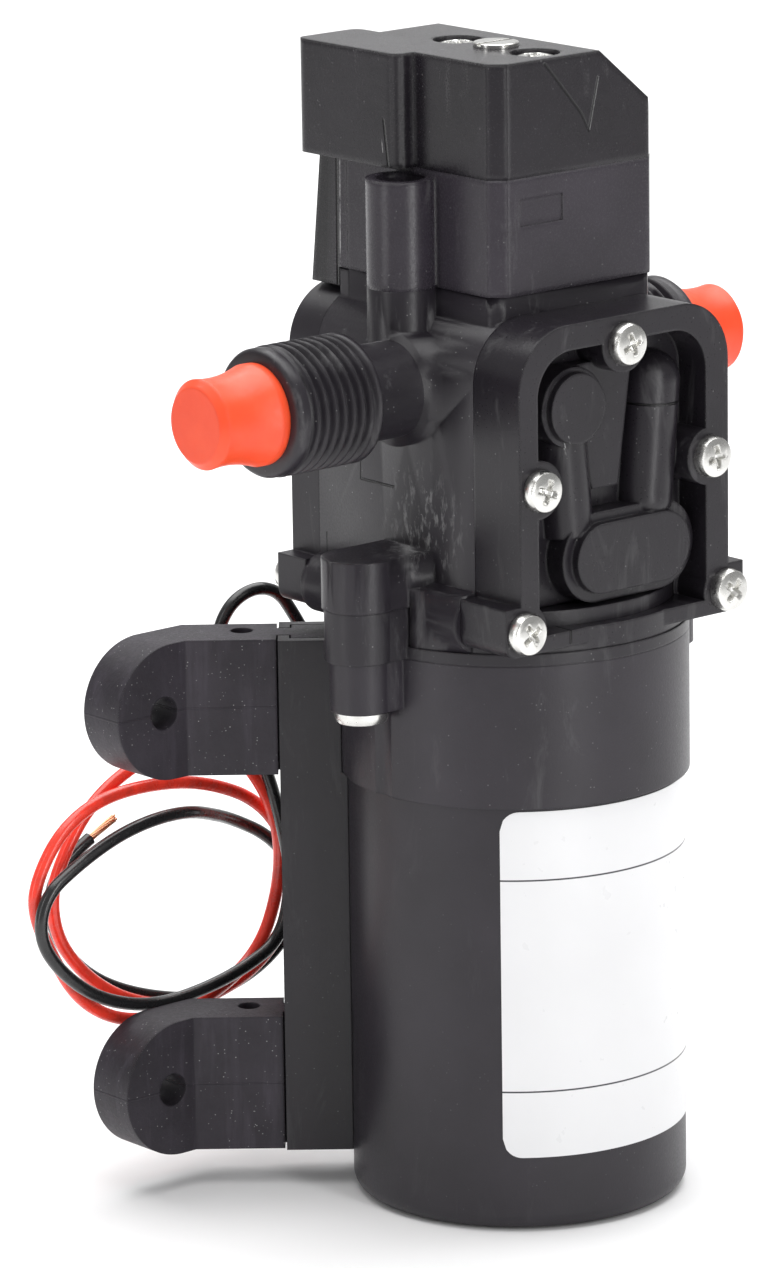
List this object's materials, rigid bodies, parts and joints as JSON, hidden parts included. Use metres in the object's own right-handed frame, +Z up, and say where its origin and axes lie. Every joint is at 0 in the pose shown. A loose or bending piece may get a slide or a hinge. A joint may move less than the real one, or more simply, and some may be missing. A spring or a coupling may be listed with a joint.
{
  "type": "diaphragm pump",
  "caption": "Small upright electric diaphragm water pump: motor can in a bracket with rubber feet, moulded head with side ports, valve covers and a pressure switch on top.",
  "frame": {"origin": "centre of the motor can's flat bottom end, on the shaft axis", "axes": "+Z up the motor shaft to the switch cover, -Y to the front valve cover, +Y to the wall side, the ports along -X and +X"},
  "size_m": [0.1211, 0.0823, 0.1917],
  "materials": {
    "black_plastic": "moulded glass-filled nylon with a fine satin grain",
    "can_steel": "black powder coat on drawn steel",
    "screw_steel": "bright zinc plate",
    "bearing_steel": "ground bearing steel",
    "plated_steel": "zinc plated sheet",
    "ferrite": "sintered ferrite",
    "carbon": "pressed carbon",
    "copper": "bare copper",
    "brass": "bare brass",
    "white_plastic": "moulded acetal",
    "white_label": "printed film, bare",
    "black_rubber": "soft black rubber",
    "foot_rubber": "dusty soft black rubber",
    "red_plug": "soft orange red plastic",
    "red_insulation": "glossy wire insulation",
    "black_insulation": "glossy wire insulation"
  },
  "bodies": {
    "pump": {"motor_can": "can_steel", "motor_magnets": "ferrite", "rear_bearing": "bearing_steel", "front_bearing": "bearing_steel", "drive_bearing": "bearing_steel", "motor_end_plate": "plated_steel", "brush_holder": "black_plastic", "brushes": "carbon", "motor_collar": "black_plastic", "drive_housing": "black_plastic", "motor_screws": "screw_steel", "long_screws": "screw_steel", "pump_head": "black_plastic", "port_seals": "black_rubber", "front_diaphragm": "black_rubber", "rear_diaphragm": "black_rubber", "front_valve_plate": "white_plastic", "rear_valve_plate": "white_plastic", "inlet_valves": "black_rubber", "outlet_valves": "black_rubber", "front_cover": "black_plastic", "rear_cover": "black_plastic", "front_cover_screws": "screw_steel", "rear_cover_screws": "screw_steel", "switch_housing": "black_plastic", "housing_screws": "screw_steel", "switch_diaphragm": "black_rubber", "pressure_spring": "bearing_steel", "switch_cover": "black_plastic", "cap_screws": "screw_steel", "microswitch_case": "black_plastic", "microswitch_blades": "brass", "rating_label": "white_label", "mounting_bracket": "can_steel", "bracket_screws": "screw_steel", "lead_grommet": "black_rubber", "red_lead": "red_insulation", "black_lead": "black_insulation", "red_lead_end": "copper", "black_lead_end": "copper"},
    "rotor": {"rotor_shaft": "bearing_steel", "rotor_core": "bearing_steel", "rotor_windings": "copper", "commutator": "copper", "eccentric": "bearing_steel", "eccentric_bearing": "bearing_steel"},
    "yoke": {"piston_yoke": "white_plastic", "piston_discs": "bearing_steel", "piston_screws": "screw_steel"},
    "plunger": {"switch_plunger": "white_plastic"},
    "button": {"microswitch_button": "white_plastic"},
    "adjuster": {"adjusting_screw": "screw_steel"},
    "inlet_stopper": {"inlet_plug": "red_plug"},
    "outlet_stopper": {"outlet_plug": "red_plug"},
    "upper_left_foot": {"foot_upper_left": "foot_rubber"},
    "upper_right_foot": {"foot_upper_right": "foot_rubber"},
    "lower_left_foot": {"foot_lower_left": "foot_rubber"},
    "lower_right_foot": {"foot_lower_right": "foot_rubber"}
  },
  "joints": [
    {"name": "rotor_spin", "type": "hinge", "parent": "pump", "child": "rotor", "pos_m": [0, 0, 0], "axis": [0, 0, 1], "continuous": true},
    {"name": "yoke_stroke", "type": "slide", "parent": "pump", "child": "yoke", "axis": [0, 1, 0], "range_m": [-0.001, 0.001], "deforming": ["front_diaphragm", "rear_diaphragm"]},
    {"name": "plunger_lift", "type": "slide", "parent": "pump", "child": "plunger", "axis": [0, 0, 1], "range_m": [0, 0.0008], "stiffness_N_per_m": 2000, "springref_m": -0.0005, "deforming": ["pressure_spring", "switch_diaphragm"]},
    {"name": "button_lift", "type": "slide", "parent": "pump", "child": "button", "axis": [0, 0, 1], "range_m": [0, 0.0008]},
    {"name": "adjuster_turn", "type": "hinge", "parent": "pump", "child": "adjuster", "pos_m": [-0.004, -0.0015, 0.19], "axis": [0, 0, 1], "range_deg": [-360, 360]},
    {"name": "inlet_plug_pull", "type": "slide", "parent": "pump", "child": "inlet_stopper", "axis": [-1, 0, 0], "range_m": [0, 0.02]},
    {"name": "outlet_plug_pull", "type": "slide", "parent": "pump", "child": "outlet_stopper", "axis": [1, 0, 0], "range_m": [0, 0.02]},
    {"name": "upper_left_foot_slide", "type": "slide", "parent": "pump", "child": "upper_left_foot", "axis": [0, 0, 1], "range_m": [-0.018, 0]},
    {"name": "upper_right_foot_slide", "type": "slide", "parent": "pump", "child": "upper_right_foot", "axis": [0, 0, 1], "range_m": [-0.018, 0]},
    {"name": "lower_left_foot_slide", "type": "slide", "parent": "pump", "child": "lower_left_foot", "axis": [0, 0, 1], "range_m": [0, 0.018]},
    {"name": "lower_right_foot_slide", "type": "slide", "parent": "pump", "child": "lower_right_foot", "axis": [0, 0, 1], "range_m": [0, 0.018]}
  ],
  "couplings": [
    {"joint": "button_lift", "follows": "plunger_lift", "ratio": 1}
  ]
}
